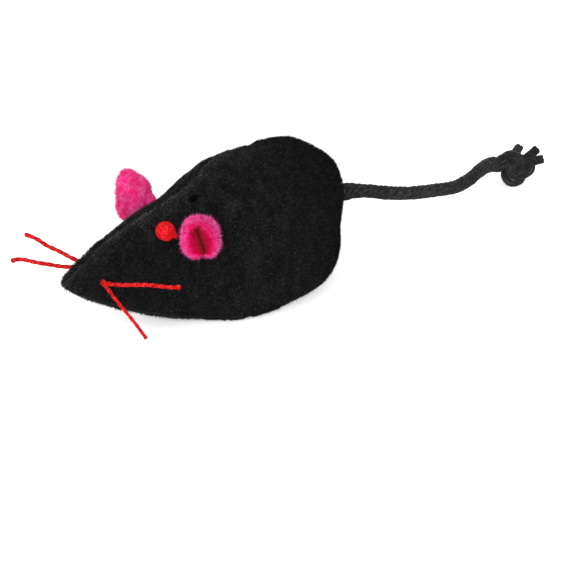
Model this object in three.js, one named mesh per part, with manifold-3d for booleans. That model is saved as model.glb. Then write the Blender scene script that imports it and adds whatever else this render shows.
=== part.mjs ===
// A sewn cloth mouse for cats. Two side panels and a belly panel hold stuffing and catnip.
// Millimetres, +Z up. The nose points to -X, the mouse's left side is -Y, and the belly rests at Z = 0.
import * as THREE from "three";
import { mergeVertices } from "three/addons/utils/BufferGeometryUtils.js";
import Module from "manifold-3d";

const wasm = await Module();
wasm.setup();

// Driving dimensions
const BODY_LENGTH = 80;
const BODY_WIDTH = 37.7;
const BODY_HEIGHT = 38.6;
const FABRIC = 1.4;
const SEAM_ALLOWANCE = 3;
const CLEARANCE = 0.3;
const SEAM_THREAD_RADIUS = 0.25;
const STITCH_DEPTH = 1.5;
const CATNIP_LENGTH = 22;
const CATNIP_WIDTH = 18;
const CATNIP_HEIGHT = 15;
const EYE_DIAMETER = 5.2;
const EYE_HEIGHT = 2;
const EAR_LENGTH = 7.8;
const EAR_HEIGHT = 10.6;
const EAR_WIDTH = 9.6;
const EAR_SPLIT = 0.9;
const EAR_STEM_RADIUS = 1.4;
const WHISKER_RADIUS = 0.6;
const WHISKER_TIP_RADIUS = 0.85;
const TAIL_RADIUS = 1.65;
const TAIL_ANCHOR_LENGTH = 8;
const TAIL_ROOT_LENGTH = 9;
const KNOT_STRAND_RADIUS = 1.5;
const KNOT_LOOP = 1;
const KNOT_HEIGHT = 4.3;
const FRAY_RADIUS = 0.8;
const RINGS = 21;
const SIDES = 24;
const FILL_RINGS = 14;
const FILL_SIDES = 16;
const BIG = 400;

// Where things sit on the body: a share of the way from nose to tail, and an angle up from the flank
const LEFT_EYE_PLACE = [0.378, 45.4];
const RIGHT_EYE_PLACE = [0.37, 21];
const EAR_PLACE = [0.449, 34.2];
const UPPER_WHISKER_PLACE = [0.22, 5];
const LOWER_WHISKER_PLACE = [0.208, -5.6];
const EAR_LEAN = new THREE.Vector3(-0.59, -0.775, 0.231);

// How far an ear's rim juts forward at its top and back at its bottom, as a share of its height
const EAR_HOOD = 0.36;

// Outlines as shares of the body: along it, then above the floor or out from the middle
const DORSAL = [
  [0, 0.436], [0.015, 0.493], [0.11, 0.631], [0.25, 0.758], [0.4, 0.862],
  [0.56, 0.99], [0.725, 1.006], [0.86, 0.952], [0.96, 0.86], [1, 0.493],
];
const BELLY = [
  [0, 0.436], [0.015, 0.408], [0.11, 0.262], [0.25, 0.11], [0.4, -0.022],
  [0.56, -0.147], [0.725, -0.092], [0.85, -0.035], [0.955, 0.15], [1, 0.493],
];
const FLANK = [
  [0, 0], [0.015, 0.156], [0.11, 0.284], [0.25, 0.474], [0.4, 0.666],
  [0.55, 0.88], [0.7, 1], [0.85, 0.89], [0.957, 0.46], [1, 0],
];
const BELLY_SEAM = [
  [-0.04, 0.431], [0.01, 0.417], [0.11, 0.318], [0.25, 0.18], [0.4, 0.081],
  [0.56, 0.064], [0.725, 0.064], [0.85, 0.095], [0.94, 0.223], [1, 0.332], [1.05, 0.379],
];

// How full the section is: the back runs up to a soft ridge and the lower half is round
const RIDGE_OUT = 2 / 1.45;
const RIDGE_RISE = 2 / 1.9;
const ROUND = 2 / 2.25;

function guide(shares, across) {
  const points = shares.map(
    ([a, b]) => new THREE.Vector3((a - 0.5) * BODY_LENGTH, b * across, 0),
  );
  return new THREE.CatmullRomCurve3(points);
}
const dorsal = guide(DORSAL, BODY_HEIGHT);
const belly = guide(BELLY, BODY_HEIGHT);
const flank = guide(FLANK, BODY_WIDTH / 2);
const bellySeam = guide(BELLY_SEAM, BODY_HEIGHT).getSpacedPoints(60);

// The cloth's outer surface, or one drawn in from it.
// Angle 0 is the right flank and a quarter turn up is the back.
function bodyPoint(t, angle, inset = 0) {
  const top = dorsal.getPoint(t);
  const bottom = belly.getPoint(t);
  const side = flank.getPoint(t);
  const upper = Math.sin(angle) >= 0;
  const edge = upper ? top : bottom;
  const rise = Math.abs(Math.sin(angle)) ** (upper ? RIDGE_RISE : ROUND);
  const out = Math.abs(Math.cos(angle)) ** (upper ? RIDGE_OUT : ROUND);
  const middle = (top.y + bottom.y) / 2;
  const height = edge.y - middle - (upper ? inset : -inset);
  return new THREE.Vector3(
    (side.x + (edge.x - side.x) * rise) * (1 - (2 * inset) / BODY_LENGTH),
    (side.y - inset) * out * Math.sign(Math.cos(angle)),
    middle + height * rise,
  );
}

function bodyNormal(t, angle) {
  const step = 0.004;
  const along = bodyPoint(Math.min(t + step, 1), angle).sub(bodyPoint(Math.max(t - step, 0), angle));
  const around = bodyPoint(t, angle + step).sub(bodyPoint(t, angle - step));
  return along.cross(around).normalize().negate();
}

// The height of the belly seam at a place along the body
function seamHeight(x) {
  const after = bellySeam.findIndex((p) => p.x > x);
  const b = bellySeam[after];
  const a = bellySeam[after - 1];
  return a.y + ((b.y - a.y) * (x - a.x)) / (b.x - a.x);
}

function closedMesh(points, triangles) {
  const geometry = new THREE.BufferGeometry();
  geometry.setAttribute("position", new THREE.Float32BufferAttribute(points, 3));
  geometry.setIndex(triangles);
  return geometry;
}

function solid(geometry) {
  const bare = geometry.clone();
  bare.deleteAttribute("normal");
  bare.deleteAttribute("uv");
  const merged = mergeVertices(bare, 1e-4);
  return new wasm.Manifold(
    new wasm.Mesh({
      numProp: 3,
      vertProperties: new Float32Array(merged.attributes.position.array),
      triVerts: new Uint32Array(merged.index.array),
    }),
  );
}

function geometryOf(made) {
  const mesh = made.getMesh();
  return closedMesh(Array.from(mesh.vertProperties), Array.from(mesh.triVerts));
}

// The body as a closed solid, drawn in from the cloth's surface by an inset.
const FIRST_RING = 0.012;
const LAST_RING = 0.988;
const RING_STEP = 0.004;
const LEAST_RING = 1.6;
const NOSE_CAP = 0.4;
const INNER_NOSE_CAP = 0.8;

function bodySolid(inset, rings = RINGS, sides = SIDES) {
  let start = FIRST_RING;
  while (inset > 0 && flank.getPoint(start).y < LEAST_RING * inset) start += RING_STEP;
  let end = LAST_RING;
  while (inset > 0 && flank.getPoint(end).y < LEAST_RING * inset) end -= RING_STEP;
  const points = [];
  const triangles = [];
  for (let i = 0; i < rings; i += 1) {
    const t = start + ((end - start) * i) / (rings - 1);
    for (let j = 0; j < sides; j += 1) {
      points.push(...bodyPoint(t, (2 * Math.PI * j) / sides, inset));
    }
  }
  const ringMiddle = new THREE.Vector3();
  for (let j = 0; j < sides; j += 1) ringMiddle.x += points[3 * j] / sides;
  for (let j = 0; j < sides; j += 1) ringMiddle.z += points[3 * j + 2] / sides;
  const nose = points.length / 3;
  points.push(ringMiddle.x - (inset > 0 ? INNER_NOSE_CAP : NOSE_CAP - inset), 0, ringMiddle.z);
  const rump = bodyPoint(1, 0);
  points.push(rump.x - inset, 0, rump.z);
  for (let j = 0; j < sides; j += 1) {
    const k = (j + 1) % sides;
    triangles.push(nose, k, j);
    for (let i = 0; i < rings - 1; i += 1) {
      const a = i * sides;
      const b = a + sides;
      triangles.push(a + j, a + k, b + k);
      triangles.push(a + j, b + k, b + j);
    }
    const last = (rings - 1) * sides;
    triangles.push(nose + 1, last + j, last + k);
  }
  return solid(closedMesh(points, triangles));
}

function box(x0, x1, y0, y1, z0, z1) {
  const geometry = new THREE.BoxGeometry(x1 - x0, y1 - y0, z1 - z0);
  geometry.translate((x0 + x1) / 2, (y0 + y1) / 2, (z0 + z1) / 2);
  return solid(geometry);
}

function above(height) {
  return box(-BIG, BIG, -BIG, BIG, height, BIG);
}

// Everything over the belly seam, raised by an amount
function aboveBellySeam(raised) {
  const shape = new THREE.Shape();
  const first = bellySeam[0];
  const last = bellySeam[bellySeam.length - 1];
  shape.moveTo(-BIG, first.y + raised);
  bellySeam.forEach((p) => shape.lineTo(p.x, p.y + raised));
  shape.lineTo(BIG, last.y + raised);
  shape.lineTo(BIG, BIG);
  shape.lineTo(-BIG, BIG);
  const geometry = new THREE.ExtrudeGeometry(shape, { depth: BIG, bevelEnabled: false });
  geometry.translate(0, 0, -BIG / 2);
  geometry.rotateX(Math.PI / 2);
  return solid(geometry);
}

// A round cord along a curve
function tube(curve, radius, steps, sides = 8) {
  const ring = new THREE.Shape();
  ring.absarc(0, 0, radius, 0, 2 * Math.PI);
  return new THREE.ExtrudeGeometry(ring, {
    steps,
    curveSegments: sides / 2,
    bevelEnabled: false,
    extrudePath: curve,
  });
}

function ball(centre, radius, across = 12) {
  const geometry = new THREE.SphereGeometry(radius, across, across / 2 + 2);
  geometry.translate(centre.x, centre.y, centre.z);
  return solid(geometry);
}

function stretch(curve, from, to, pieces) {
  const points = [];
  for (let i = 0; i <= pieces; i += 1) {
    points.push(curve.getPointAt(from + ((to - from) * i) / pieces));
  }
  return new THREE.CatmullRomCurve3(points);
}

const group = new THREE.Group();
group.name = "catnip_mouse";

function place(name, geometry, colour) {
  const material = new THREE.MeshStandardMaterial({ color: colour, roughness: 0.9 });
  const mesh = new THREE.Mesh(geometry, material);
  mesh.name = name;
  group.add(mesh);
  return mesh;
}

function placeMirrored(name, geometry, colour) {
  place(name, geometry, colour).scale.set(1, -1, 1);
}

const BLACK = 0x1b1b1c;
const CORD_BLACK = 0x2a2a2c;
const RED = 0xe01a18;
const PINK = 0xee3f88;
const FIBRE = 0xe8e4da;
const HERB = 0x6d7a3c;
const halfGap = CLEARANCE / 2;
const radians = Math.PI / 180;

// A place on the left side of the body
function onLeft([t, degrees]) {
  const angle = Math.PI - degrees * radians;
  return { point: bodyPoint(t, angle), normal: bodyNormal(t, angle) };
}

// Tail: a cord sewn into the rump, drooping to the floor, where it ends in an overhand knot
const rump = bodyPoint(1, 0);
const swingCentre = new THREE.Vector3(rump.x + CLEARANCE + TAIL_RADIUS, 0, rump.z);
const KNOT_FROM_ROOT = new THREE.Vector3(66, 8.6, 0);
const CORD_END_FROM_KNOT = new THREE.Vector3(-1.6, 0.6, 1.4);
const knotCentre = swingCentre.clone().add(KNOT_FROM_ROOT).setZ(KNOT_HEIGHT);
const ROUTE = [
  [0, 0, 1], [7, -1.3, 0.95], [14.5, -1.6, 0.8], [23, -1, 0.62], [32, 0.3, 0.47], [39, 1, 0.38],
  [45.5, 3.2, 0.345], [50.3, 5.6, 0.33], [54.8, 8, 0.29], [58.5, 9.7, 0.23], [61.5, 10.1, 0.17],
];
const route = new THREE.CatmullRomCurve3(
  ROUTE.map(
    ([x, y, share]) =>
      new THREE.Vector3(
        swingCentre.x + x,
        y,
        knotCentre.z + share * (swingCentre.z - knotCentre.z),
      ),
  ).concat([knotCentre.clone().add(CORD_END_FROM_KNOT)]),
);
const tailLength = route.getLength();
const liftShare = TAIL_ROOT_LENGTH / tailLength;
const liftCentre = route.getPointAt(liftShare);
const rootEnd = (TAIL_ROOT_LENGTH - TAIL_RADIUS - CLEARANCE) / tailLength;
const anchorLine = new THREE.LineCurve3(
  rump.clone().setX(rump.x - TAIL_ANCHOR_LENGTH),
  rump.clone(),
);
const anchorHole = solid(
  tube(
    new THREE.LineCurve3(
      rump.clone().setX(rump.x - TAIL_ANCHOR_LENGTH - CLEARANCE),
      rump.clone().setX(rump.x + TAIL_RADIUS),
    ),
    TAIL_RADIUS + CLEARANCE,
    1,
    16,
  ),
);

// Whiskers: two threads straight through the muzzle, each with two free ends
const UPPER_LEFT_TIP = new THREE.Vector3(12.6, -12.7, -0.3);
const UPPER_RIGHT_TIP = new THREE.Vector3(-6.2, 15.7, 3.1);
const LOWER_LEFT_TIP = new THREE.Vector3(3.8, -12.5, -9.7);
const LOWER_RIGHT_TIP = new THREE.Vector3(-9.7, 15.5, -1.2);
const WHISKER_BEND = 1.6;

function whisker(spot, leftReach, rightReach) {
  const left = onLeft(spot).point;
  const right = left.clone().setY(-left.y);
  const out = new THREE.Vector3(0, WHISKER_BEND, 0);
  const leftCorner = left.clone().sub(out);
  const rightCorner = right.clone().add(out);
  const leftTip = left.clone().add(leftReach);
  const rightTip = right.clone().add(rightReach);
  const leftTurned = leftCorner.clone().lerp(leftTip, 0.16);
  const rightTurned = rightCorner.clone().lerp(rightTip, 0.16);
  const path = new THREE.CurvePath();
  path.add(new THREE.LineCurve3(leftTip, leftTurned));
  path.add(new THREE.QuadraticBezierCurve3(leftTurned, leftCorner, left));
  path.add(new THREE.LineCurve3(left, right));
  path.add(new THREE.QuadraticBezierCurve3(right, rightCorner, rightTurned));
  path.add(new THREE.LineCurve3(rightTurned, rightTip));
  const channelLine = new THREE.LineCurve3(leftCorner, rightCorner);
  return {
    thread: solid(tube(path, WHISKER_RADIUS, 30))
      .add(ball(leftTip, WHISKER_TIP_RADIUS, 8))
      .add(ball(rightTip, WHISKER_TIP_RADIUS, 8)),
    channel: solid(tube(channelLine, WHISKER_RADIUS + CLEARANCE, 1)),
  };
}
const upperWhisker = whisker(UPPER_WHISKER_PLACE, UPPER_LEFT_TIP, UPPER_RIGHT_TIP);
const lowerWhisker = whisker(LOWER_WHISKER_PLACE, LOWER_LEFT_TIP, LOWER_RIGHT_TIP);

// Seam threads: one between the turned-in edges along the back, one along each belly seam
const stitchPoints = [];
for (let i = 0; i <= 12; i += 1) {
  stitchPoints.push(bodyPoint(0.24 + 0.056 * i, Math.PI / 2, FABRIC + STITCH_DEPTH));
}
const stitchLine = new THREE.CatmullRomCurve3(stitchPoints);

function bellyStitch(t) {
  const inset = FABRIC + CLEARANCE + SEAM_THREAD_RADIUS;
  let low = Math.PI;
  let high = 1.5 * Math.PI - 0.02;
  for (let i = 0; i < 30; i += 1) {
    const angle = (low + high) / 2;
    const p = bodyPoint(t, angle, inset);
    if (p.z > seamHeight(p.x)) low = angle;
    else high = angle;
  }
  return bodyPoint(t, low, inset);
}
const bellyStitchPoints = [];
for (let i = 0; i <= 12; i += 1) bellyStitchPoints.push(bellyStitch(0.33 + 0.039 * i));
const bellyStitchLine = new THREE.CatmullRomCurve3(bellyStitchPoints);
const bellyGroove = solid(tube(bellyStitchLine, SEAM_THREAD_RADIUS + CLEARANCE, 18));
const mirror = new THREE.Matrix4().makeScale(1, -1, 1);
const rightGroove = solid(
  tube(
    new THREE.CatmullRomCurve3(bellyStitchPoints.map((p) => p.clone().applyMatrix4(mirror))),
    SEAM_THREAD_RADIUS + CLEARANCE,
    18,
  ),
);

// Cloth panels
const outer = bodySolid(0).intersect(above(0));
const inner = bodySolid(FABRIC).intersect(above(FABRIC));
const core = bodySolid(FABRIC + SEAM_ALLOWANCE);
const stitchGroove = solid(tube(stitchLine, SEAM_THREAD_RADIUS + CLEARANCE, 20));
const leftOf = (y) => box(-BIG, BIG, -BIG, y, -BIG, BIG);
const leftPanel = outer
  .intersect(leftOf(-halfGap))
  .intersect(aboveBellySeam(halfGap))
  .subtract(core)
  .subtract(inner.intersect(leftOf(-halfGap - FABRIC)))
  .subtract(inner.subtract(aboveBellySeam(SEAM_ALLOWANCE)))
  .subtract(anchorHole)
  .subtract(upperWhisker.channel)
  .subtract(lowerWhisker.channel)
  .subtract(stitchGroove);
const bellyPanel = outer.subtract(inner).subtract(aboveBellySeam(-halfGap));
place("left_side_panel", geometryOf(leftPanel), BLACK);
placeMirrored("right_side_panel", geometryOf(leftPanel), BLACK);
place("belly_panel", geometryOf(bellyPanel), BLACK);
place("dorsal_seam_thread", tube(stitchLine, SEAM_THREAD_RADIUS, 20), BLACK);
place("left_belly_thread", tube(bellyStitchLine, SEAM_THREAD_RADIUS, 18), BLACK);
placeMirrored("right_belly_thread", tube(bellyStitchLine, SEAM_THREAD_RADIUS, 18), BLACK);

// Filling: two wads of fibre with the dried herb held between them
const fillInset = FABRIC + CLEARANCE;
const herbCentre = new THREE.Vector3(BODY_LENGTH * 0.1, 0, BODY_HEIGHT * 0.44);
function herb(grown) {
  const geometry = new THREE.SphereGeometry(1, 16, 10);
  geometry.scale(
    CATNIP_LENGTH / 2 + grown,
    CATNIP_WIDTH / 2 + grown,
    CATNIP_HEIGHT / 2 + grown,
  );
  geometry.translate(herbCentre.x, herbCentre.y, herbCentre.z);
  return geometry;
}
const seamEdges = box(
  -BIG,
  BIG,
  -halfGap - fillInset,
  halfGap + fillInset,
  0,
  BIG,
).subtract(bodySolid(fillInset + SEAM_ALLOWANCE, FILL_RINGS, FILL_SIDES));
const filling = bodySolid(fillInset, FILL_RINGS, FILL_SIDES)
  .intersect(above(fillInset))
  .subtract(seamEdges)
  .subtract(anchorHole)
  .subtract(upperWhisker.channel)
  .subtract(lowerWhisker.channel)
  .subtract(bellyGroove)
  .subtract(rightGroove)
  .subtract(solid(herb(CLEARANCE)));
const ahead = box(-BIG, herbCentre.x - halfGap, -BIG, BIG, -BIG, BIG);
const behind = box(herbCentre.x + halfGap, BIG, -BIG, BIG, -BIG, BIG);
place("head_stuffing", geometryOf(filling.intersect(ahead)), FIBRE);
place("rump_stuffing", geometryOf(filling.intersect(behind)), FIBRE);
place("catnip_fill", herb(0), HERB);

// Eyes: domed felt dots shaped to the cloth under them, the right one sewn lower than the left
const aroundBody = bodySolid(-CLEARANCE);
function eye(spot) {
  const { point, normal } = onLeft(spot);
  const geometry = new THREE.SphereGeometry(1, 16, 10);
  geometry.scale(EYE_DIAMETER / 2, EYE_HEIGHT, EYE_DIAMETER / 2);
  geometry.applyQuaternion(
    new THREE.Quaternion().setFromUnitVectors(new THREE.Vector3(0, 1, 0), normal),
  );
  geometry.translate(point.x, point.y, point.z);
  return geometryOf(solid(geometry).subtract(aroundBody));
}
place("left_eye", eye(LEFT_EYE_PLACE), RED);
placeMirrored("right_eye", eye(RIGHT_EYE_PLACE), RED);

// Ears: plush cups hooded at the top and split at the bottom, folding about the stem's rounded foot
const earSpot = onLeft(EAR_PLACE);
const earFoot = earSpot.point
  .clone()
  .addScaledVector(earSpot.normal, EAR_STEM_RADIUS + CLEARANCE);
const earAxis = EAR_LEAN.clone().normalize();
const foldAxis = new THREE.Vector3(0, 0, 1).addScaledVector(earAxis, -earAxis.z).normalize();
const FOOT_PROFILE = [[0, -1], [0.72, -0.7], [1, 0]];
const CUP_PROFILE = [
  [0.45, 0.1], [0.8, 0.28], [0.98, 0.5], [1, 0.74], [0.94, 0.92], [0.8, 1],
  [0.6, 0.93], [0.42, 0.72], [0.24, 0.54], [0, 0.5],
];
const earOutline = FOOT_PROFILE.map(
  ([r, y]) => new THREE.Vector2(r * EAR_STEM_RADIUS, y * EAR_STEM_RADIUS),
).concat(
  CUP_PROFILE.map(([r, y]) => new THREE.Vector2((r * EAR_HEIGHT) / 2, y * EAR_LENGTH)),
);
const earShell = new THREE.LatheGeometry(earOutline, 18);
earShell.scale(1, 1, EAR_WIDTH / EAR_HEIGHT);
const shellPoints = earShell.attributes.position;
for (let i = 0; i < shellPoints.count; i += 1) {
  const along = shellPoints.getY(i);
  const hood = (EAR_HOOD * shellPoints.getX(i) * Math.max(0, along)) / EAR_LENGTH;
  shellPoints.setY(i, along + hood);
}
const SPLIT_START = 0.35;
const earSplit = box(
  -EAR_HEIGHT,
  0,
  SPLIT_START * EAR_LENGTH,
  2 * EAR_LENGTH,
  -EAR_SPLIT / 2,
  EAR_SPLIT / 2,
);
const earTurn = new THREE.Matrix4()
  .makeBasis(foldAxis, earAxis, foldAxis.clone().cross(earAxis))
  .setPosition(earFoot);
const ear = geometryOf(solid(earShell).subtract(earSplit)).applyMatrix4(earTurn);
place("left_ear", ear, PINK);
placeMirrored("right_ear", ear, PINK);

place("upper_whisker_thread", geometryOf(upperWhisker.thread), RED);
place("lower_whisker_thread", geometryOf(lowerWhisker.thread), RED);

// The knot's three lobes face the viewer's side, with the cord coming in at the top
const knotFacing = new THREE.Quaternion().setFromUnitVectors(
  new THREE.Vector3(0, 0, 1),
  new THREE.Vector3(-0.5, -0.7, 0.5).normalize(),
);

function knotPoint(angle) {
  const p = new THREE.Vector3(
    Math.sin(angle) + 2 * Math.sin(2 * angle),
    -Math.cos(angle) + 2 * Math.cos(2 * angle),
    -1.1 * Math.sin(3 * angle),
  );
  return p.multiplyScalar(KNOT_LOOP).applyQuaternion(knotFacing).add(knotCentre);
}

function knotSolid(radius) {
  let made = ball(knotCentre, 1.5 * KNOT_LOOP + CLEARANCE, 12);
  for (let lobe = 0; lobe < 3; lobe += 1) {
    const points = [];
    for (let i = 0; i <= 8; i += 1) {
      points.push(knotPoint(((lobe + (i / 8) * 1.06) * 2 * Math.PI) / 3));
    }
    made = made.add(solid(tube(new THREE.CatmullRomCurve3(points), radius, 12)));
  }
  return made;
}
const knot = knotSolid(KNOT_STRAND_RADIUS);
const knotRoom = knotSolid(KNOT_STRAND_RADIUS + CLEARANCE);
place("tail_anchor", tube(anchorLine, TAIL_RADIUS, 1, 12), CORD_BLACK);
const rootStretch = solid(tube(stretch(route, 0, rootEnd, 4), TAIL_RADIUS, 4));
place("tail_root", geometryOf(rootStretch.add(ball(swingCentre, TAIL_RADIUS, 8))), CORD_BLACK);
const cordStretch = solid(tube(stretch(route, liftShare, 1, 16), TAIL_RADIUS, 26));
place(
  "tail_cord",
  geometryOf(cordStretch.add(ball(liftCentre, TAIL_RADIUS, 8)).subtract(knotRoom)),
  CORD_BLACK,
);
place("tail_knot", geometryOf(knot), CORD_BLACK);

// The cord's three strands fray out past the knot
const FRAYS = [
  [2.5, 1.5, 5.4],
  [6.9, -0.5, 3.8],
  [5.2, -4.4, 2.8],
];
FRAYS.forEach((reach, i) => {
  const tip = knotCentre.clone().add(new THREE.Vector3(...reach));
  const start = knotCentre.clone().lerp(tip, 0.2);
  const middle = start.clone().lerp(tip, 0.55).add(new THREE.Vector3(0, 0, 0.4));
  const curve = new THREE.QuadraticBezierCurve3(start, middle, tip);
  const strand = solid(tube(curve, FRAY_RADIUS, 6)).subtract(knotRoom);
  place("tail_strand_" + (i + 1), geometryOf(strand), CORD_BLACK);
});

export default group;
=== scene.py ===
import math

import bmesh
import bpy
import numpy as np
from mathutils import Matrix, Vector, noise


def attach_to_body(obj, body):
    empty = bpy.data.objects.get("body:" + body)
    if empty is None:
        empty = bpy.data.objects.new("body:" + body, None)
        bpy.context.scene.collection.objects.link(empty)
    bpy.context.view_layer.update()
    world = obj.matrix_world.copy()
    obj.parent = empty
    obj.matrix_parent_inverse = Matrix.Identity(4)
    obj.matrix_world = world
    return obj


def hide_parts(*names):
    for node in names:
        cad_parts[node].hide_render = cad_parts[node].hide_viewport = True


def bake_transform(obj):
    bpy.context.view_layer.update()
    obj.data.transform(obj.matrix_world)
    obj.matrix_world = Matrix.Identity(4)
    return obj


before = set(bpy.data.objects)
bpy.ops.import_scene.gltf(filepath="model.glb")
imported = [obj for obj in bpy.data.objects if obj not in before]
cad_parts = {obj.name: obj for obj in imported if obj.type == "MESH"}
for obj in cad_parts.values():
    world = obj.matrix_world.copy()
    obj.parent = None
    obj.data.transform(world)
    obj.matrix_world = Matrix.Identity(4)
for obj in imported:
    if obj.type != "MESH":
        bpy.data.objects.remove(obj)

# Sizes here are millimetres. A mesh is made in metres.
MM = 0.001
LEAST_HEIGHT = 0.05
MIRROR = np.array([1, -1, 1])
LEFTWARD = np.array([0, -1, 0])
UPWARD = np.array([0, 0, 1])
SIDES = {"left": 1, "right": -1}
SEED = 20
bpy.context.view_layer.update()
chance = np.random.default_rng(SEED)

# Camera
IMAGE_SIDE = 564
AZIMUTH = math.radians(-35)
ELEVATION = math.radians(26)
VIEW_DISTANCE = 800
PIXELS_PER_MM = 4.096
SEEN_POINT = np.array([0.0, 0.0, 20.0])
SEEN_AT = (202.3, 231.4)
SENSOR = 36

# Body, close to the part's source, with its outline taken nearer the photograph's
BODY_LENGTH = 80
BODY_WIDTH = 37.7
BODY_HEIGHT = 38.6
RIDGE_OUT = 2 / 1.45
RIDGE_RISE = 2 / 1.9
ROUND = 2 / 2.25
DORSAL = [
    (0, 0.436), (0.015, 0.493), (0.11, 0.638), (0.25, 0.764), (0.4, 0.86),
    (0.575, 0.991), (0.735, 0.994), (0.85, 0.971), (1.005, 0.71), (1, 0.493),
]
BELLY = [
    (0, 0.436), (0.015, 0.408), (0.11, 0.262), (0.25, 0.11), (0.4, -0.022),
    (0.56, -0.18), (0.725, -0.088), (0.85, -0.027), (0.97, 0.153), (1, 0.493),
]
FLANK = [
    (0, 0), (0.015, 0.156), (0.11, 0.284), (0.25, 0.474), (0.4, 0.666),
    (0.55, 0.88), (0.7, 1), (0.85, 0.92), (0.936, 0.475), (1, 0),
]
BELLY_SEAM = [
    (-0.04, 0.431), (0.01, 0.417), (0.11, 0.318), (0.25, 0.18), (0.4, 0.081),
    (0.56, 0.064), (0.725, 0.064), (0.85, 0.095), (0.94, 0.223), (1, 0.332), (1.05, 0.379),
]
# How far the back seam strays to the right of the ridge along the body, in degrees
SEAM_STRAY = [(0, 0), (0.3, 0), (0.43, -5), (0.51, 9), (0.6, 19), (0.78, 20), (0.9, 10), (1, 0)]

# Tail, on the part's own route: along from the rump, across, and share of the height
TAIL_RADIUS = 1.65
TAIL_GAP = 0.3
SEWN_IN = (5, 2)
KNOT_REACH = np.array([66, 8.6])
KNOT_HEIGHT = 4.3
KNOT_LOOP = 1.06
KNOT_FACING = np.array([-0.5, -0.7, 0.5])
KNOT_TURN = math.radians(6)
ROUTE = [
    (0, 0, 1), (7, -1.3, 0.95), (14.5, -1.6, 0.8), (23, -1, 0.62), (32, 0.3, 0.47), (39, 1, 0.38),
    (45.5, 3.2, 0.345), (50.3, 5.6, 0.33), (54.8, 8, 0.29), (58.5, 9.7, 0.23), (61.5, 10.1, 0.17),
]
# How far the limp cord settles under its route, and the stretch over which it gets there
TAIL_SETTLE = 0.7
SETTLE_RUN = 14
FRAYS = [(2.4, 1.2, 5.4), (7.1, -0.5, 3.9), (5.6, -4.6, 2.8)]
FRAY_BOWS = [(-0.7, 0.2, 0.3), (-0.2, 0.3, -0.5), (0.2, -0.1, 0.3)]

# Whiskers: where each end leaves the muzzle and its reach from there, how far the right one bows up
# along its length, and a factor on the left one's thickness
WHISKER_BEND = 1.1
WHISKERS = {
    "upper": {
        "left": ((0.211, 6.5), (13.3, -12.9, 0)),
        "right": ((0.22, 13), (-6.2, 15.9, 3.0)),
        "bow": [(0, 0), (0.3, 0.05), (0.6, 0.1), (0.8, 0.5), (1, 0.3)],
        "slim": 0.95,
    },
    "lower": {
        "left": ((0.209, 1.5), (3.7, -12.5, -10.5)),
        "right": ((0.208, 4), (-9.7, 15.5, -1.5)),
        "bow": [(0, 0), (0.3, -0.25), (0.6, 0.2), (0.84, 0.8), (0.93, 0.65), (1, 0)],
        "slim": 0.82,
    },
}

# Eyes and ears, placed by a share along the body and degrees up from the flank
EYE_PLACES = {"left": (0.381, 47), "right": (0.37, 18.5)}
EYE_RADIUS = 2.3
EYE_DOME = 2.1
EAR_PLACE = (0.449, 34.2)
EAR_STAND = 1.7
EAR_LEAN = np.array([-0.59, -0.775, 0.231])
EAR_ROLL = [math.radians(8), math.radians(19)]


def unit(v):
    return v / np.linalg.norm(v, axis=-1, keepdims=True)


def new_object(name, data):
    made = bpy.data.objects.new(name, data)
    bpy.context.scene.collection.objects.link(made)
    return made


def aim(thing, way):
    thing.rotation_mode = "QUATERNION"
    thing.rotation_quaternion = Vector(way).to_track_quat("-Z", "Y")


def add_camera():
    back = np.array([
        math.sin(AZIMUTH) * math.cos(ELEVATION),
        -math.cos(AZIMUTH) * math.cos(ELEVATION),
        math.sin(ELEVATION),
    ])
    right = np.array([math.cos(AZIMUTH), math.sin(AZIMUTH), 0])
    up = np.cross(back, right)
    middle = IMAGE_SIDE / 2
    aside = (middle - SEEN_AT[0]) * right + (SEEN_AT[1] - middle) * up
    look = aside / PIXELS_PER_MM - VIEW_DISTANCE * back
    data = bpy.data.cameras.new("camera")
    data.sensor_width = SENSOR
    data.lens = SENSOR * PIXELS_PER_MM * VIEW_DISTANCE / IMAGE_SIDE
    camera = new_object("camera", data)
    camera.location = (SEEN_POINT + VIEW_DISTANCE * back) * MM
    aim(camera, look)
    bpy.context.scene.camera = camera


add_camera()


# Curves and meshes

FINE_STEPS = 40
LINE_STEPS = 240
SEED_STEP = 7.3
NEARLY_ACROSS = 0.8
WELD = 1e-7


def catmull(points, shares):
    """A centripetal Catmull-Rom curve through points, at shares of the way along its spans."""
    points = np.asarray(points, float)
    ends = np.vstack([2 * points[0] - points[1], points, 2 * points[-1] - points[-2]])
    at = np.clip(np.asarray(shares, float), 0, 1) * (len(points) - 1)
    span = np.minimum(at.astype(int), len(points) - 2)
    w = (at - span)[:, None]
    a, b, c, d = (ends[span + i] for i in range(4))
    before, during, after = (
        np.sqrt(np.linalg.norm(q - p, axis=1, keepdims=True)) for p, q in ((a, b), (b, c), (c, d))
    )
    leave = ((b - a) / before - (c - a) / (before + during) + (c - b) / during) * during
    arrive = ((c - b) / during - (d - b) / (during + after) + (d - c) / after) * during
    return (
        b * (2 * w**3 - 3 * w**2 + 1)
        + leave * (w**3 - 2 * w**2 + w)
        + c * (3 * w**2 - 2 * w**3)
        + arrive * (w**3 - w**2)
    )


def travelled(points):
    steps = np.linalg.norm(np.diff(points, axis=0), axis=1)
    return np.concatenate([[0], np.cumsum(steps)])


def evenly(points, step):
    along = travelled(points)
    count = max(2, round(along[-1] / step)) + 1
    at = np.linspace(0, along[-1], count)
    return np.stack([np.interp(at, along, points[:, k]) for k in range(3)], 1)


def smooth_line(points, step):
    fine = catmull(points, np.linspace(0, 1, FINE_STEPS * len(points)))
    return evenly(fine, step)


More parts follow.
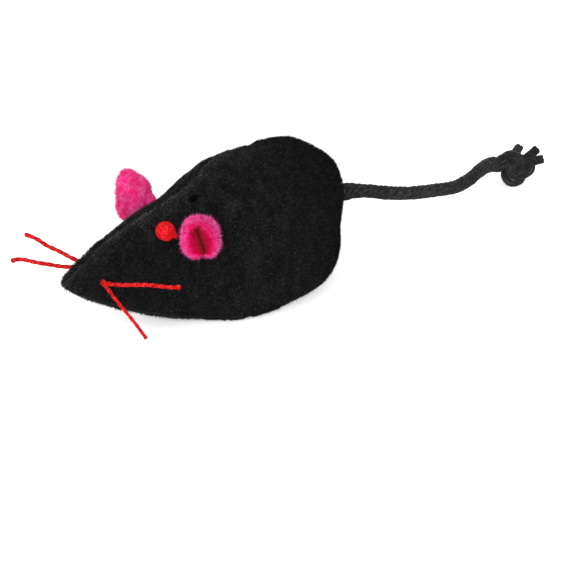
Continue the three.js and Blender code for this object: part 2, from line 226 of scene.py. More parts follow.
def frames_along(points):
    """A normal and a binormal at each point of a line, which don't turn about it."""
    tangents = unit(np.gradient(points, axis=0))
    first = np.cross(tangents[0], (0, 1, 0) if abs(tangents[0][1]) < NEARLY_ACROSS else (1, 0, 0))
    normals = [unit(first)]
    for tangent in tangents[1:]:
        normals.append(unit(normals[-1] - tangent * (normals[-1] @ tangent)))
    normals = np.array(normals)
    return normals, np.cross(tangents, normals)


def wound(line, turn, offset):
    """A line wound round another at an offset, by an angle at each point."""
    normals, binormals = frames_along(line)
    return line + offset * (np.cos(turn) * normals + np.sin(turn) * binormals)


def tube_rings(points, radii, sides):
    normals, binormals = frames_along(points)
    angle = np.linspace(0, 2 * math.pi, sides, endpoint=False)[None, :, None]
    out = np.cos(angle) * normals[:, None] + np.sin(angle) * binormals[:, None]
    return points[:, None] + np.asarray(radii, float)[:, None, None] * out


def rounded(radii, points, start=True):
    """Radii that close in to a dome at a line's end, and at its start unless told not to."""
    along = travelled(points)
    made = np.array(radii, float)
    last = along[-1] - along
    for away in (along, last) if start else (last,):
        short = np.clip(1 - away / made, 0, 1)
        made = made * np.sqrt(np.maximum(1 - short**2, 1e-4))
    return made


def hump(values, height, centre, width):
    return height * np.exp(-(((values - centre) / width) ** 2))


def wrapped(angle):
    """The same angle, from half a turn back to half a turn on."""
    return np.angle(np.exp(1j * angle))


def face_outward(mesh, weld=False):
    """Turns a closed mesh's faces outward. Points that meet can be joined first."""
    made = bmesh.new()
    made.from_mesh(mesh)
    if weld:
        bmesh.ops.remove_doubles(made, verts=made.verts, dist=WELD)
    bmesh.ops.recalc_face_normals(made, faces=made.faces)
    made.to_mesh(mesh)
    made.free()


class Build:
    """Gathers points and faces for one mesh, with each corner's place on the mesh's map."""

    def __init__(self):
        self.points = []
        self.faces = []
        self.corners = []
        self.count = 0

    def add(self, points, faces, corners):
        self.points.append(np.asarray(points, float).reshape(-1, 3))
        self.faces += (np.asarray(faces) + self.count).tolist()
        self.corners.append(np.asarray(corners, float).reshape(-1, 2))
        self.count += len(self.points[-1])

    def add_rings(self, rings, low=0.0, high=1.0, caps=True, length=1.0):
        """Rings joined into a tube, whose map fills a band from low to high over a length."""
        rows, sides, _ = rings.shape
        faces, corners = grid(rows, sides)
        corners = corners * (length, high - low) + (0, low)
        self.add(rings, faces, corners)
        if caps:
            fan = [[i, (i + 1) % sides, sides] for i in range(sides)]
            for ring, at in ((rings[0], 0.0), (rings[-1], length)):
                self.add(np.vstack([ring, ring.mean(0)]), fan, [(at, low)] * (3 * sides))

    def piece(self, name, material, smooth=True):
        mesh = bpy.data.meshes.new(name)
        mesh.from_pydata((np.vstack(self.points) * MM).tolist(), [], self.faces)
        layer = mesh.uv_layers.new(name="OFBake")
        layer.data.foreach_set("uv", np.vstack(self.corners).astype(np.float32).ravel())
        face_outward(mesh, weld=True)
        if smooth:
            mesh.shade_smooth()
        mesh.materials.append(material)
        return new_object(name, mesh)


def grid(rows, sides):
    """Faces between rings of points, and each corner's place on a unit square."""
    i, j = (x.ravel() for x in np.meshgrid(np.arange(rows - 1), np.arange(sides), indexing="ij"))
    k = (j + 1) % sides
    faces = np.stack([i * sides + j, i * sides + k, (i + 1) * sides + k, (i + 1) * sides + j], 1)
    steps = ((0, 0), (0, 1), (1, 1), (1, 0))
    corners = np.stack([np.stack([(i + a) / (rows - 1), (j + b) / sides], 1) for a, b in steps], 1)
    return faces, corners


def tubes_piece(name, material, tubes, length=1.0):
    """One piece from closed tubes, each with its own band of the map."""
    made = Build()
    for k, rings in enumerate(tubes):
        made.add_rings(rings, k / len(tubes), (k + 1) / len(tubes), length=length)
    return made.piece(name, material)


def rough(points, size, seed):
    """Smooth random numbers from about -1 to 1 that change over a size in millimetres."""
    flat = np.asarray(points, float).reshape(-1, 3) / size + seed * SEED_STEP
    values = [noise.noise(Vector(p)) for p in flat]
    return np.array(values).reshape(np.shape(points)[:-1])


def relief(points, forms, seed=0):
    """Roughness of several forms, each a height, a size across and a seed."""
    return sum(height * rough(points, size, seed + own) for height, size, own in forms)


def above_floor(points):
    made = points.copy()
    made[..., 2] = np.maximum(made[..., 2], LEAST_HEIGHT)
    return made


def normals_of(sheet):
    along = np.gradient(sheet, axis=0)
    across = np.gradient(sheet, axis=1)
    return unit(np.cross(along, across) + 1e-12)


def attach(piece, body, slot, *nodes):
    """Rides on a body, in place of any nodes named. The slot is not used."""
    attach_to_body(piece, body)
    if nodes:
        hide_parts(*nodes)


# Fibres: how far up they have rings, how they taper, and the side of each one's spot on the map

FIBRE_RINGS = [0, 0.35, 0.7]
FIBRE_TAPER = 0.5
MAP_SPOT = 0.0015
MAP_END = 0.998


def fibres(name, roots, ways, lengths, width, places, material, curl=None):
    """Fine three-sided spikes on places of the map, bent aside at their middle by curl."""
    count = len(roots)
    side = unit(np.cross(ways, chance.normal(size=(count, 3))))
    other = np.cross(unit(ways), side)
    angle = 2 * math.pi / 3 * np.arange(3)
    ring = np.cos(angle)[None, :, None] * side[:, None] + np.sin(angle)[None, :, None] * other[:, None]
    reach = ways * lengths[:, None]
    rows = []
    for level in FIBRE_RINGS[:1] if curl is None else FIBRE_RINGS:
        aside = 0 if curl is None else 4 * level * (1 - level) * curl
        thick = width / 2 * (1 - FIBRE_TAPER * level)
        rows.append((roots + level * reach + aside)[:, None] + ring * thick)
    points = above_floor(np.concatenate(rows + [(roots + reach)[:, None]], 1))
    each = points.shape[1]
    shape = []
    for low in range(0, each - 4, 3):
        for k in range(3):
            a, b = low + k, low + (k + 1) % 3
            shape += [[a, b, b + 3], [a, b + 3, a + 3]]
    last = each - 4
    shape += [[last + k, last + (k + 1) % 3, each - 1] for k in range(3)]
    faces = each * np.arange(count)[:, None, None] + np.array(shape)[None]
    spot = MAP_SPOT * np.array([[0, 0], [1, 0], [0.5, 1]])
    corners = np.clip(places, 0, MAP_END)[:, None, None] + spot[None, None].repeat(len(shape), 1)
    made = Build()
    made.add(points, faces.reshape(-1, 3), corners)
    return made.piece(name, material, smooth=False)


def between(values, i, j, k, u, v):
    """Values between rows i and i + 1 and columns j and k, by shares u and v."""
    low = values[i, j] * (1 - v) + values[i, k] * v
    high = values[i + 1, j] * (1 - v) + values[i + 1, k] * v
    return low * (1 - u) + high * u


def scatter(sheet, count, keep=None):
    """Random points on a sheet, with their normals, ways along and places on the map."""
    normals = normals_of(sheet)
    along = unit(np.gradient(sheet, axis=0) + 1e-12)
    a = sheet[1:, :-1] - sheet[:-1, :-1]
    b = sheet[:-1, 1:] - sheet[:-1, :-1]
    area = np.linalg.norm(np.cross(a, b), axis=2)
    if keep is not None:
        area = area * keep[:-1, :-1]
    rows, cols = area.shape
    cell = chance.choice(area.size, count, p=(area / area.sum()).ravel())
    i, j = np.divmod(cell, cols)
    u, v = chance.random((2, count))
    places = np.stack([(i + u) / rows, (j + v) / cols], 1)
    at = (i, j, j + 1, u[:, None], v[:, None])
    return between(sheet, *at), unit(between(normals, *at)), unit(between(along, *at)), places


# Pile: short fibres on a sheet, and the loose lint over them

PILE_SWAY = 0.7
SWAY_SIZE = 2.2
SWAY_SEEDS = (11, 12, 13)
PILE_STRAY = 0.3
LINT_COUNT = 1700
LINT_LENGTHS = (0.3, 1.0)
LINT_WIDTH = 0.06
LINT_TILT = 0.5
LINT_CURL = 0.22
LINT_HEIGHT = 0.3


def nearest(values, places):
    size = np.array(values.shape[:2])
    i, j = np.minimum((places * size).astype(int), size - 1).T
    return values[i, j]


def pile(
    name, body, slot, material, sheet, outward, count,
    lengths=(0.35, 0.8), width=0.11, lean=0.45, trim=None, keep=None,
):
    """Short fibres standing on a sheet. Trim gives a factor on their length along the sheet."""
    roots, normals, along, places = scatter(sheet, count, keep)
    facing = np.sign((normals * nearest(outward, places)).sum(1))[:, None]
    sway = np.stack([rough(roots, SWAY_SIZE, seed) for seed in SWAY_SEEDS], 1)
    stray = chance.normal(size=roots.shape)
    ways = normals * facing + lean * along + PILE_SWAY * sway + PILE_STRAY * stray
    reach = chance.uniform(*lengths, count)
    if trim is not None:
        reach = reach * np.interp(places[:, 0], *zip(*trim))
    attach(fibres(name, roots, unit(ways), reach, width, places, material), body, slot)


def lint(name, sheet, outward):
    roots, _, _, places = scatter(sheet, LINT_COUNT)
    up = nearest(outward, places)
    flat = chance.normal(size=roots.shape)
    flat = unit(flat - up * (flat * up).sum(1)[:, None])
    ways = unit(flat + up * chance.uniform(0.0, LINT_TILT, (LINT_COUNT, 1)))
    reach = chance.uniform(*LINT_LENGTHS, LINT_COUNT)
    curl = np.cross(up, flat) * chance.normal(0, LINT_CURL, (LINT_COUNT, 1))
    roots = roots + up * LINT_HEIGHT
    loose = fibres(name, roots, ways, reach, LINT_WIDTH, places, PALE_LINT, curl)
    attach(loose, "mouse_body", "black_plush")


# Materials

FOLD_UNEVEN = 0.16
FOLD_BLEND = 0.07
MOTTLE_SPAN = (0.36, 0.64)
COOLER = 1.01
WHITE = (1, 1, 1, 1)


def greys(stops):
    return [(at, (level,) * 3) for at, level in stops]


class Finish:
    """A material and the nodes behind its shader."""

    def __init__(self, name):
        self.material = bpy.data.materials.new(name)
        self.material.use_nodes = True
        self.tree = self.material.node_tree

    def feed(self, node, inputs):
        """Sets a node's inputs to values, or links them to other nodes' outputs."""
        for key, value in inputs.items():
            if isinstance(value, bpy.types.NodeSocket):
                self.tree.links.new(value, node.inputs[key])
            else:
                node.inputs[key].default_value = value

    def shade(self, inputs):
        self.feed(self.tree.nodes["Principled BSDF"], inputs)

    def add(self, kind, inputs):
        node = self.tree.nodes.new("ShaderNode" + kind)
        self.feed(node, inputs)
        return node

    def worked(self, operation, *values, kind="Math"):
        node = self.add(kind, dict(enumerate(values)))
        node.operation = operation
        return node.outputs[0]

    def times(self, a, b):
        return self.worked("MULTIPLY", a, b, kind="VectorMath")

    def mixed(self, share, a, b):
        node = self.tree.nodes.new("ShaderNodeMix")
        node.data_type = "RGBA"
        self.feed(node, {0: share, 6: a, 7: b})
        return node.outputs[2]

    def noise(self, size, stretch=(1, 1, 1), mapped=False):
        """Noise with features of a size in millimetres, or in thousandths of the mesh's map."""
        place = self.add("TexCoord", {}).outputs["UV" if mapped else "Object"]
        scaled = self.add("Mapping", {"Vector": place, "Scale": stretch}).outputs["Vector"]
        inputs = {"Vector": scaled, "Scale": 1 / (size * MM), "Detail": 3.0}
        return self.add("TexNoise", inputs).outputs["Fac"]

    def ramp(self, value, colours):
        node = self.add("ValToRGB", {"Fac": value})
        while len(node.color_ramp.elements) < len(colours):
            node.color_ramp.elements.new(0.5)
        for element, (at, colour) in zip(node.color_ramp.elements, colours):
            element.position = at
            element.color = (*colour, 1)
        return node.outputs["Color"]

    def map_axis(self, axis):
        place = self.add("TexCoord", {}).outputs["UV"]
        return self.add("SeparateXYZ", {"Vector": place}).outputs[axis]

    def level(self, axis, stops):
        """A grey level along one axis of the mesh's map."""
        return self.ramp(self.map_axis(axis), greys(stops))

    def folded(self, outside, grain, stops):
        """Goes from the outside colour to the fold's colours along the mesh's map, with an uneven edge: a
        deeper tint, then painted shade darkening into the crease.
        """
        uneven = self.worked("MULTIPLY_ADD", grain, FOLD_UNEVEN, self.map_axis("X"))
        sooner = self.worked("ADD", uneven, self.level("Y", FOLD_EARLY))
        start = stops[0][0]
        share = self.ramp(sooner, greys([(start - FOLD_BLEND, 0), (start, 1)]))
        return self.mixed(share, outside, self.ramp(sooner, stops))


def cloth_material(
    name, size, colours, sheen, tint, depth,
    stretch=(1, 1, 1), mapped=False, mottle=None, seam=None, painted_light=None, fold=None, gloss=0.15,
):
    """
    Noise coloured by a ramp. Mottle is a wider noise's size, stretch, and low and high factors. Seam
    and the factor after it paint light and shade across and along the mesh's map, and fold gives colours
    along it: a deeper tint, with painted shade at its far end.
    """
    finish = Finish(name)
    grain = finish.noise(size, stretch, mapped)
    colour = finish.ramp(grain, colours)
    if mottle is not None:
        wide, drawn, low, high = mottle
        blotch = finish.ramp(finish.noise(wide, drawn), greys(zip(MOTTLE_SPAN, (low, high))))
        colour = finish.times(colour, blotch)
    if seam is not None:
        kept = finish.level("X", SEAM_KEPT)
        colour = finish.times(colour, finish.mixed(kept, WHITE, finish.level("Y", seam)))
    if painted_light is not None:
        colour = finish.times(colour, finish.level("X", painted_light))
    if fold is not None:
        colour = finish.folded(colour, grain, fold)
    bump = {"Strength": 0.7, "Distance": depth * MM, "Height": grain}
    finish.shade({
        "Base Color": colour,
        "Roughness": 0.95,
        "Specular IOR Level": gloss,
        "Sheen Weight": sheen,
        "Sheen Roughness": 0.5,
        "Sheen Tint": (*tint, 1),
        "Normal": finish.add("Bump", bump).outputs["Normal"],
    })
    return finish.material


def cool_greys(*stops):
    return [(at, (level, level, level * COOLER)) for at, level in stops]


# Painted light and shade on the pile, from the back seam down to the belly seam, and from the nose to the
# rump: a dark seam line with a lit band beside it, and the rump painted darker than the nose
NEAR_SEAM_PAINTED_LIGHT = [
    (0.0, 0.3), (0.01, 0.6), (0.03, 4.2), (0.1, 3.8),
    (0.18, 2.1), (0.32, 1.0), (0.93, 0.95), (1.0, 0.6),
]
FAR_SEAM_PAINTED_LIGHT = [(0.0, 0.3), (0.015, 0.5), (0.04, 1.6), (0.2, 1.6), (0.4, 1.0), (1.0, 0.7)]
SEAM_KEPT = [(0.4, 1.0), (0.5, 0.5), (0.6, 0.25), (0.7, 0.0)]
PAINTED_LIGHT_ALONG_BODY = [
    (0.0, 1.4), (0.2, 0.85), (0.42, 0.9), (0.54, 1.0),
    (0.64, 0.9), (0.71, 0.7), (0.8, 0.42), (1.0, 0.36),
]
ROWS = (1, 1, 0.3)
# Painted light and shade round each ear, then the colours down into its fold, a deeper pink with painted
# shade darkening into the crease, and where round it they start sooner
PAINTED_LIGHT_ROUND_EARS = {
    "left": [(0.0, 0.88), (0.12, 0.82), (0.4, 0.77), (0.5, 0.84), (0.6, 0.93), (0.85, 0.92), (1.0, 0.88)],
    "right": [(0.0, 1.0), (0.12, 0.95), (0.4, 0.92), (0.5, 0.97), (0.6, 1.0), (1.0, 1.0)],
}
EAR_FOLD_TINT_AND_SHADE = [
    (0.59, (0.84, 0.003, 0.18)), (0.66, (0.72, 0.001, 0.095)), (0.74, (0.56, 0.004, 0.045)),
    (0.82, (0.42, 0.012, 0.025)), (1.0, (0.28, 0.018, 0.02)),
]
FOLD_EARLY = [(0.3, 0.0), (0.45, 0.07), (0.55, 0.07), (0.7, 0.0)]

BLACK_PLUSH = cloth_material(
    "black_plush", size=0.6, colours=cool_greys((0.3, 0.004), (0.55, 0.009), (0.75, 0.02)),
    sheen=0.03, tint=(0.6, 0.6, 0.6), depth=0.25, mottle=(3.0, ROWS, 0.6, 1.5), painted_light=PAINTED_LIGHT_ALONG_BODY, gloss=0.05,
)


def black_pile(name, seam):
    return cloth_material(
        name, size=0.4, colours=cool_greys((0.38, 0.007), (0.55, 0.02), (0.74, 0.065)),
        sheen=0.01, tint=(0.7, 0.7, 0.7), depth=0.05,
        mottle=(2.2, ROWS, 0.6, 1.4), seam=seam, painted_light=PAINTED_LIGHT_ALONG_BODY, gloss=0.02,
    )


# The near and far pile are one black pile, painted with different light and shade beside the back seam
NEAR_PILE = black_pile("black_pile", NEAR_SEAM_PAINTED_LIGHT)
FAR_PILE = black_pile("black_pile_far", FAR_SEAM_PAINTED_LIGHT)
PALE_LINT = cloth_material(
    "pale_lint", size=1.5, colours=cool_greys((0.35, 0.02), (0.65, 0.11)),
    sheen=0.02, tint=(0.8, 0.8, 0.8), depth=0.02, painted_light=PAINTED_LIGHT_ALONG_BODY, gloss=0.04,
)


# Each ear has its own copy of the pink finishes, which differ only in the painted light and shade round
# it
def ear_finishes(side, painted_light):
    plush = cloth_material(
        side + "_pink_plush", size=1.7,
        colours=[(0.3, (0.85, 0.012, 0.22)), (0.5, (1.0, 0.05, 0.38)), (0.7, (1.0, 0.17, 0.52))],
        sheen=0.1, tint=(1.0, 0.5, 0.75), depth=0.2, seam=painted_light, fold=EAR_FOLD_TINT_AND_SHADE, gloss=0.08,
    )
    fur = cloth_material(
        side + "_pink_pile", size=1.4,
        colours=[(0.3, (0.9, 0.015, 0.23)), (0.5, (1.0, 0.075, 0.4)), (0.68, (1.0, 0.28, 0.6))],
        sheen=0.06, tint=(1.0, 0.55, 0.75), depth=0.05, seam=painted_light, fold=EAR_FOLD_TINT_AND_SHADE, gloss=0.06,
    )
    return plush, fur


PINK_FINISHES = {side: ear_finishes(side, painted_light) for side, painted_light in PAINTED_LIGHT_ROUND_EARS.items()}
STRAY_PINK = cloth_material(
    "stray_pink", size=1.4,
    colours=[(0.3, (1.0, 0.07, 0.36)), (0.5, (1.0, 0.18, 0.52)), (0.68, (1.0, 0.36, 0.68))],
    sheen=0.1, tint=(1.0, 0.6, 0.8), depth=0.05, gloss=0.08,
)
RED_FELT = cloth_material(
    "red_felt", size=0.5,
    colours=[(0.3, (0.57, 0.002, 0.005)), (0.5, (0.74, 0.005, 0.011)), (0.72, (0.84, 0.05, 0.065))],
    sheen=0.05, tint=(1.0, 0.4, 0.4), depth=0.1,
)
# Its lighter and darker flecks are partly the thread's own tone and partly painted highlights and shade
RED_THREAD = cloth_material(
    "red_thread", size=0.5,
    colours=[(0.38, (0.3, 0.002, 0.002)), (0.5, (0.52, 0.005, 0.005)), (0.62, (0.78, 0.028, 0.025))],
    sheen=0.03, tint=(1.0, 0.4, 0.4), depth=0.08,
)
# Its lighter streaks along the strands are partly paler fibres and partly painted highlights on their
# crests
BLACK_CORD = cloth_material(
    "black_cord", size=1.0, colours=cool_greys((0.4, 0.0085), (0.55, 0.016), (0.68, 0.055)),
    sheen=0.06, tint=(0.8, 0.8, 0.8), depth=0.1,
    stretch=(0.075, 0.09, 1), mapped=True, mottle=(7.0, (1, 1, 1), 0.65, 1.3),
)
BLACK_THREAD = cloth_material(
    "black_thread", size=0.3, colours=cool_greys((0.35, 0.006), (0.65, 0.02)),
    sheen=0.1, tint=(0.6, 0.6, 0.6), depth=0.05,
)
# Near-black, darker than the cloth: painted shade in the hole of the pucker at the ear's stitch
PUCKER_SHADE_THREAD = cloth_material(
    "pucker_shade_thread", size=0.3, colours=cool_greys((0.35, 0.001), (0.65, 0.002)),
    sheen=0.0, tint=(0.5, 0.5, 0.5), depth=0.02, gloss=0.01,
)
FIBRE_FILL = cloth_material(
    "fibre_fill", size=0.9, colours=[(0.3, (0.62, 0.6, 0.55)), (0.65, (0.84, 0.82, 0.77))],
    sheen=0.3, tint=(1, 1, 1), depth=0.4, stretch=(1, 1, 3),
)
DRIED_HERB = cloth_material(
    "dried_herb", size=1.4,
    colours=[(0.32, (0.07, 0.08, 0.02)), (0.52, (0.17, 0.2, 0.06)), (0.72, (0.33, 0.32, 0.13))],
    sheen=0.1, tint=(0.6, 0.6, 0.3), depth=0.5,
)


# Body: two side panels and a belly panel, sewn edge to edge

def guide(shares, across):
    return [((a - 0.5) * BODY_LENGTH, b * across) for a, b in shares]


GUIDES = [guide(DORSAL, BODY_HEIGHT), guide(BELLY, BODY_HEIGHT), guide(FLANK, BODY_WIDTH / 2)]
SEAM_LINE = catmull(guide(BELLY_SEAM, BODY_HEIGHT), np.linspace(0, 1, LINE_STEPS))
HALVINGS = 30


def body_points(t, angle):
    """The cloth's outer surface. Angle 0 is the right flank, and a quarter turn up is the back."""
    t, angle = np.broadcast_arrays(np.asarray(t, float), np.asarray(angle, float))
    flat = t.ravel()
    top, bottom, side = (catmull(line, flat) for line in GUIDES)
    turn = angle.ravel()
    upper = np.sin(turn) >= 0
    edge = np.where(upper[:, None], top, bottom)
    rise = np.abs(np.sin(turn)) ** np.where(upper, RIDGE_RISE, ROUND)
    out = np.sign(np.cos(turn)) * np.abs(np.cos(turn)) ** np.where(upper, RIDGE_OUT, ROUND)
    middle = (top[:, 1] + bottom[:, 1]) / 2
    x = side[:, 0] + (edge[:, 0] - side[:, 0]) * rise
    z = middle + (edge[:, 1] - middle) * rise
    return np.stack([x, side[:, 1] * out, z], 1).reshape(*t.shape, 3)


def on_left(place):
    """A point on the body's left side and the normal there, from a share along and degrees up."""
    t, degrees = place
    angle = math.pi - math.radians(degrees)
    step = 0.004
    here = body_points(t, angle)
    along = body_points(t + step, angle) - body_points(t - step, angle)
    around = body_points(t, angle + step) - body_points(t, angle - step)
    return here, -unit(np.cross(along, around))


def seam_angle(t):
    """Where the belly seam crosses each ring, as an angle on the left side."""
    low = np.full(len(t), math.pi)
    high = np.full(len(t), 1.5 * math.pi)
    for _ in range(HALVINGS):
        middle = (low + high) / 2
        p = body_points(t, middle)
        over = p[:, 2] > np.interp(p[:, 0], SEAM_LINE[:, 0], SEAM_LINE[:, 1])
        low = np.where(over, middle, low)
        high = np.where(over, high, middle)
    return low


def ridge_angle(t):
    """Where the back seam crosses each ring."""
    line = catmull(SEAM_STRAY, np.linspace(0, 1, LINE_STEPS))
    return math.pi / 2 - np.radians(np.interp(t, line[:, 0], line[:, 1]))


FLOOR_ROUND = 0.3
PANEL_ROWS = 220
PANEL_COLS = 96
BELLY_COLS = 60
SIDE_SPAN = (0.001, 0.999)
INNER_SPAN = (0.02, 0.98)
LEAST_BELLY = 0.01


def laid(t, angle):
    """Cloth at rows of angles, flat on the floor where it would pass it."""
    t = t[:, None] + 0 * angle
    points = body_points(t, angle)
    z = points[..., 2]
    points[..., 2] = (z + np.sqrt(z * z + 4 * FLOOR_ROUND**2)) / 2
    return points, t, angle


def side_sheet(flip):
    """One side panel, as if it were the left one, from the back seam to the belly seam."""
    t = np.linspace(*SIDE_SPAN, PANEL_ROWS)
    share = np.linspace(0, 1, PANEL_COLS)[None]
    top = ridge_angle(t)[:, None] if flip == 1 else math.pi - ridge_angle(t)[:, None]
    return laid(t, top + (seam_angle(t)[:, None] - top) * share)


def belly_sheet():
    """The belly panel, as far along the body as its two seams lie apart."""
    t = np.linspace(*INNER_SPAN, PANEL_ROWS)
    t = t[seam_angle(t) < 1.5 * math.pi - LEAST_BELLY]
    t = np.linspace(t[0], t[-1], PANEL_ROWS)
    edge = seam_angle(t)[:, None]
    share = np.linspace(0, 1, BELLY_COLS)[None]
    return laid(t, edge + (3 * math.pi - 2 * edge) * share)


def row_travel(sheet):
    steps = np.linalg.norm(np.diff(sheet, axis=1), axis=2)
    return np.concatenate([np.zeros((len(sheet), 1)), np.cumsum(steps, axis=1)], 1)


def outward_of(sheet):
    normals = normals_of(sheet)
    middle = sheet.mean(axis=(0, 1)) * (1, 0, 1)
    facing = ((sheet - middle) * normals).sum(2).mean()
    return normals * (1 if facing > 0 else -1)


# The swell of the filling, from a coarse net blown up
NET_ROWS = 72
NET_SIDES = 84
NET_SCALE = 0.01
NET_FRAMES = 20
HELD_NEAR = 1.1
SWELL_LEVEL = 0.6
SWELL_MOST = 0.8
SWELL_KEPT = 0.6


def stuffed():
    """How far a coarse net of the body, ten times its size and held at the seams, is blown up."""
    t = np.linspace(*INNER_SPAN, NET_ROWS)
    angle = math.pi / 2 + np.linspace(0, 2 * math.pi, NET_SIDES, endpoint=False)
    net = body_points(t[:, None], angle[None])
    mesh = bpy.data.meshes.new("net")
    faces, _ = grid(NET_ROWS, NET_SIDES)
    ends = [list(range(NET_SIDES)), list(range((NET_ROWS - 1) * NET_SIDES, NET_ROWS * NET_SIDES))]
    mesh.from_pydata((net.reshape(-1, 3) * NET_SCALE).tolist(), [], faces.tolist() + ends)
    face_outward(mesh)
    net_object = new_object("net", mesh)
    scene = bpy.context.scene
    below = seam_angle(t)
    held = np.zeros((NET_ROWS, NET_SIDES), bool)
    near = HELD_NEAR * math.pi / NET_SIDES
    for edge in (ridge_angle(t), below, 3 * math.pi - below):
        held |= np.abs(wrapped(angle[None] - edge[:, None])) < near
    held[[0, -1]] = True
    pins = net_object.vertex_groups.new(name="held")
    pins.add(np.flatnonzero(held.ravel()).tolist(), 1.0, "REPLACE")
    cloth = net_object.modifiers.new("cloth", "CLOTH").settings
    cloth.quality = 6
    cloth.mass = 0.2
    cloth.bending_stiffness = 0.3
    cloth.shrink_min = -0.04
    cloth.use_pressure = True
    cloth.uniform_pressure_force = 4
    cloth.effector_weights.gravity = 0
    cloth.vertex_group_mass = "held"
    for frame_number in range(1, NET_FRAMES + 1):
        scene.frame_set(frame_number)
    blown = net_object.evaluated_get(bpy.context.evaluated_depsgraph_get()).to_mesh()
    after = np.empty(3 * len(blown.vertices))
    blown.vertices.foreach_get("co", after)
    moved = after.reshape(net.shape) / NET_SCALE - net
    bpy.data.objects.remove(net_object)
    bpy.data.meshes.remove(mesh)
    scene.frame_set(1)
    out = net - np.stack([net[..., 0].mean(1), 0 * t, net[..., 2].mean(1)], 1)[:, None]
    swell = (moved * unit(out)).sum(2)
    return SWELL_KEPT * np.clip(swell - np.quantile(swell, SWELL_LEVEL), -SWELL_MOST, SWELL_MOST)


def sampled(values, t, angle):
    """Values of the coarse net at shares along the body and angles round it."""
    first, last = INNER_SPAN
    row = np.clip((t - first) / (last - first), 0, 1) * (NET_ROWS - 1)
    side = ((angle - math.pi / 2) / (2 * math.pi) % 1) * NET_SIDES
    i = np.minimum(row.astype(int), NET_ROWS - 2)
    j = side.astype(int) % NET_SIDES
    k = (j + 1) % NET_SIDES
    return between(values, i, j, k, row - i, side - np.floor(side))


# Stitches and the ear's foot draw the cloth in: each one's place, depth and size
STITCH_PLACE = (0.466, 65.8)
STITCH_SIZE = (1.35, 1.35, 0.65)
DENTS = [
    (STITCH_PLACE, 0.7, 1.1), ((0.44, 62), 0.3, 3.0), (EAR_PLACE, 0.4, 7.0), ((0.38, 80), 0.3, 2.0),
]
# Where along the body the cloth grows taut, where it sags, and how far it sinks elsewhere
TAUT_FROM = 26
TAUT_TO = 38
SAG = 0.9
SAG_PLACE = (16, 5)
SAG_SIZE = (14, 5)
SINK = 0.25
# Roughness as heights, sizes and seeds, and the form of a seam and of the ridge beside it
CLOTH_RELIEF = [(0.3, 9, 0), (0.18, 2.6, 1)]
PUCKER = [(0.8, 3.2, 2)]
PUCKER_TAUT = 0.7
SEAM_DIP = (1, 0, 0.7)
SEAM_RIDGE = (1, 1.9, 1.1)
# Girths under which a ring's relief and turned-in edges grow less
RELIEF_GIRTH = 14
TUCK_GIRTH = 30
TUCK_LEAST = 0.02
# The cloth, at most one part in so many of a ring's girth, and how its edges are turned in
CLOTH = 0.7
CLOTH_PART = 40
TUCK = (0.5, 1.1, 1.8)
TUCK_ASIDE = 0.2


def dented(sheet):
    """How far the cloth is drawn in round the ears and at a few stitches."""
    drawn = np.zeros(sheet.shape[:2])
    for place, depth, size in DENTS:
        away = np.linalg.norm(sheet - on_left(place)[0], axis=2)
        drawn = drawn + hump(away, depth, 0, size)
    return drawn


def sewn(sheet, outward, deep, ridge, seed, swell):
    """A swelled sheet drawn in along its first and last columns, with ridges beside them."""
    along = row_travel(sheet)
    girth = along[:, -1:]
    fade = np.clip(girth / RELIEF_GIRTH, 0, 1)
    taut = np.clip((sheet[..., 0] - TAUT_FROM) / (TAUT_TO - TAUT_FROM), 0, 1)
    lift = relief(sheet, CLOTH_RELIEF, seed) - dented(sheet)
    from_sag = (sheet[..., [0, 2]] - SAG_PLACE) / SAG_SIZE
    lift = lift + (swell - SINK) * (1 - taut) + SAG * np.exp(-(from_sag**2).sum(2))
    pucker = (1 + relief(sheet, PUCKER, seed)) * (1 - PUCKER_TAUT * taut)
    for away, depth, height in zip((along, girth - along), deep, ridge):
        lift = lift - depth * pucker * hump(away, *SEAM_DIP)
        lift = lift + height * pucker * hump(away, *SEAM_RIDGE)
    return above_floor(sheet + outward * (lift * fade)[:, :, None])


def tucked(sheet, outward, *asides):
    """Adds the turned-in seam edges before the first column and after the last."""
    girth = row_travel(sheet)[:, -1]
    fade = np.clip(girth / TUCK_GIRTH, TUCK_LEAST, 1)[:, None]
    edges = []
    for column, aside in zip((0, -1), asides):
        edge, out = sheet[:, column], outward[:, column]
        turned = [edge - out * depth * fade + aside * TUCK_ASIDE * fade for depth in TUCK]
        edges.append(np.stack(turned, 1))
    return np.concatenate([edges[0][:, ::-1], sheet, edges[1]], 1)


def shell(name, node, sheet):
    """A closed panel of cloth in place of a node, with the sheet as its outer face."""
    rows, cols, _ = sheet.shape
    girth = row_travel(sheet)[:, -1]
    thick = np.minimum(CLOTH, girth / CLOTH_PART)[:, None, None]
    inner = sheet - outward_of(sheet) * thick
    rings = np.concatenate([sheet, inner[:, ::-1]], 1)
    made = Build()
    made.add_rings(rings, caps=False)
    last = 2 * cols - 1
    for row in (0, rows - 1):
        strip = [[j, j + 1, last - j - 1, last - j] for j in range(cols - 1)]
        spot = (row / (rows - 1), 0.5)
        made.add(rings[row], strip, [spot] * (4 * len(strip)))
    panel = made.piece(name, BLACK_PLUSH)
    attach(panel, "mouse_body", "black_plush", node)


# Each panel's seams: depths at its first and last columns, and heights of the ridges beside them
SIDE_SEAMS = ((0.5, 0.2), (0.45, 0.05))
BELLY_SEAMS = ((0.2, 0.2), (0.05, 0.05))
SEEDS = {"left": 3, "right": 23, "belly": 43}
SIDE_FIBRES = 46000
BELLY_FIBRES = 14000
# Near-black fibres at the ear's stitch, which paint the shade in its pucker
STITCH_SHADE_FIBRES = {"count": 260, "lengths": (0.2, 0.4), "width": 0.14}


